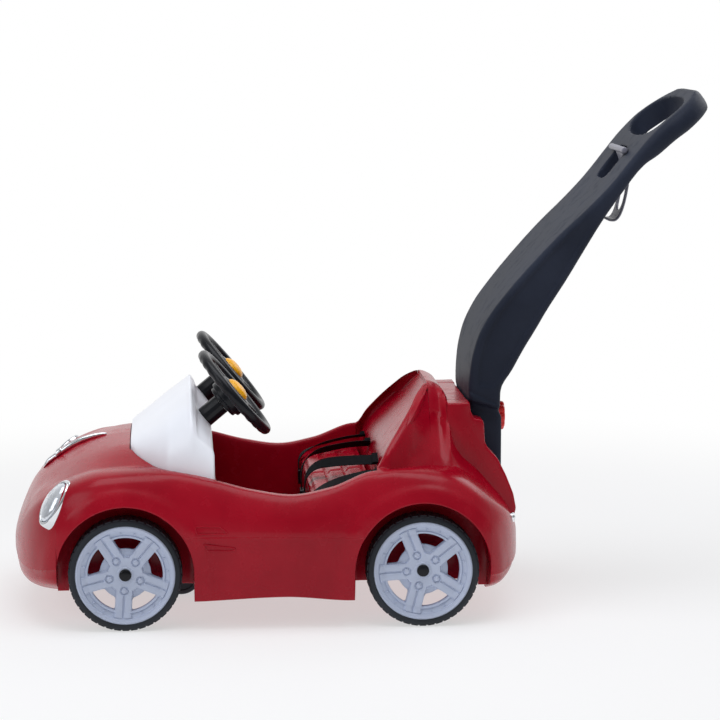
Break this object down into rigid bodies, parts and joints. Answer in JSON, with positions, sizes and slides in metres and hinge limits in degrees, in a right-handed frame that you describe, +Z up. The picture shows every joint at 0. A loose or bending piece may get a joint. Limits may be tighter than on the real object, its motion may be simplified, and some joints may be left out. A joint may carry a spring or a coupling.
{
  "type": "two seat push car",
  "caption": "Side-by-side push car for two toddlers: moulded body, steering wheels, horn buttons, lap belts and a folding parent handle.",
  "frame": {"origin": "middle of the underside of the bounding box, on the ground", "axes": "+X to the rear, where the push handle is; +Y to the right of a seated child; +Z up"},
  "size_m": [1.2678, 0.6188, 0.9332],
  "materials": {
    "red_shell": "gloss moulded polyethylene, crimson",
    "white_shell": "gloss moulded polyethylene, cool white",
    "charcoal_handle": "satin moulded polyethylene, charcoal",
    "black_plastic": "satin black",
    "tyre_plastic": "hard dull plastic",
    "rim_grey": "satin cool grey",
    "chrome_trim": "bright plated plastic",
    "clear_lens": "clear fluted plastic",
    "horn_yellow": "gloss yellow orange",
    "knob_red": "gloss red",
    "axle_steel": "plain drawn bar",
    "hook_grey": "satin grey",
    "webbing": "flat woven black webbing"
  },
  "bodies": {
    "car": {"axle_front": "axle_steel", "axle_rear": "axle_steel", "axle_spacer_front_left": "black_plastic", "axle_spacer_front_right": "black_plastic", "axle_spacer_rear_left": "black_plastic", "axle_spacer_rear_right": "black_plastic", "belt_left_inner": "webbing", "belt_left_outer": "webbing", "belt_right_inner": "webbing", "belt_right_outer": "webbing", "body_shell": "red_shell", "buckle_left": "black_plastic", "buckle_right": "black_plastic", "caster_bush": "black_plastic", "handle_pin": "axle_steel", "headlight_base_left": "chrome_trim", "headlight_base_right": "chrome_trim", "headlight_lens_left": "clear_lens", "headlight_lens_right": "clear_lens", "hood_spear": "chrome_trim", "seat_bench": "red_shell", "steering_column_left": "black_plastic", "steering_column_right": "black_plastic", "tail_light_left": "chrome_trim", "tail_light_right": "chrome_trim", "tongue_left": "black_plastic", "tongue_right": "black_plastic", "windshield_dash": "white_shell"},
    "hook": {"bag_hook": "hook_grey"},
    "caster_swivel": {"caster_axle": "axle_steel", "caster_fork": "black_plastic"},
    "caster_roller": {"caster_wheel": "tyre_plastic"},
    "knob": {"handle_bolt": "axle_steel", "handle_knob": "knob_red"},
    "horn_left": {"horn_button_left": "horn_yellow"},
    "horn_right": {"horn_button_right": "horn_yellow"},
    "handle": {"push_handle": "charcoal_handle"},
    "steering_left": {"shaft_clip_left": "axle_steel", "steering_shaft_left": "axle_steel", "steering_wheel_left": "black_plastic"},
    "steering_right": {"shaft_clip_right": "axle_steel", "steering_shaft_right": "axle_steel", "steering_wheel_right": "black_plastic"},
    "wheel_front_left": {"tyre_front_left": "tyre_plastic", "wheel_cap_front_left": "black_plastic", "wheel_rim_front_left": "rim_grey"},
    "wheel_front_right": {"tyre_front_right": "tyre_plastic", "wheel_cap_front_right": "black_plastic", "wheel_rim_front_right": "rim_grey"},
    "wheel_rear_left": {"tyre_rear_left": "tyre_plastic", "wheel_cap_rear_left": "black_plastic", "wheel_rim_rear_left": "rim_grey"},
    "wheel_rear_right": {"tyre_rear_right": "tyre_plastic", "wheel_cap_rear_right": "black_plastic", "wheel_rim_rear_right": "rim_grey"}
  },
  "joints": [
    {"name": "spin_front_left", "type": "hinge", "parent": "car", "child": "wheel_front_left", "pos_m": [-0.42985, -0.27, 0.1], "axis": [0, 1, 0], "continuous": true},
    {"name": "spin_front_right", "type": "hinge", "parent": "car", "child": "wheel_front_right", "pos_m": [-0.42985, 0.27, 0.1], "axis": [0, 1, 0], "continuous": true},
    {"name": "spin_rear_left", "type": "hinge", "parent": "car", "child": "wheel_rear_left", "pos_m": [0.09215, -0.27, 0.1], "axis": [0, 1, 0], "continuous": true},
    {"name": "spin_rear_right", "type": "hinge", "parent": "car", "child": "wheel_rear_right", "pos_m": [0.09215, 0.27, 0.1], "axis": [0, 1, 0], "continuous": true},
    {"name": "steer_left", "type": "hinge", "parent": "car", "child": "steering_left", "pos_m": [-0.23335, -0.14, 0.3985], "axis": [0.7683, 0, 0.6401], "continuous": true},
    {"name": "press_horn_left", "type": "slide", "parent": "steering_left", "child": "horn_left", "axis": [-0.7683, 0, -0.6401], "range_m": [0, 0.003], "stiffness_N_per_m": 600, "springref_m": -0.001},
    {"name": "steer_right", "type": "hinge", "parent": "car", "child": "steering_right", "pos_m": [-0.23335, 0.14, 0.3985], "axis": [0.7683, 0, 0.6401], "continuous": true},
    {"name": "press_horn_right", "type": "slide", "parent": "steering_right", "child": "horn_right", "axis": [-0.7683, 0, -0.6401], "range_m": [0, 0.003], "stiffness_N_per_m": 600, "springref_m": -0.001},
    {"name": "caster_turn", "type": "hinge", "parent": "car", "child": "caster_swivel", "pos_m": [-0.35985, 0, 0.0885], "axis": [0, 0, 1], "continuous": true},
    {"name": "caster_roll", "type": "hinge", "parent": "caster_swivel", "child": "caster_roller", "pos_m": [-0.33185, 0, 0.038], "axis": [0, 1, 0], "continuous": true},
    {"name": "handle_fold", "type": "hinge", "parent": "car", "child": "handle", "pos_m": [0.22315, 0, 0.242], "axis": [0, 1, 0], "range_deg": [0, 70]},
    {"name": "knob_turn", "type": "hinge", "parent": "handle", "child": "knob", "pos_m": [0.25445, 0, 0.329], "axis": [1, 0, 0], "continuous": true},
    {"name": "hook_swing", "type": "hinge", "parent": "handle", "child": "hook", "pos_m": [0.47885, 0, 0.824], "axis": [0, 1, 0], "range_deg": [-26, 9]}
  ]
}
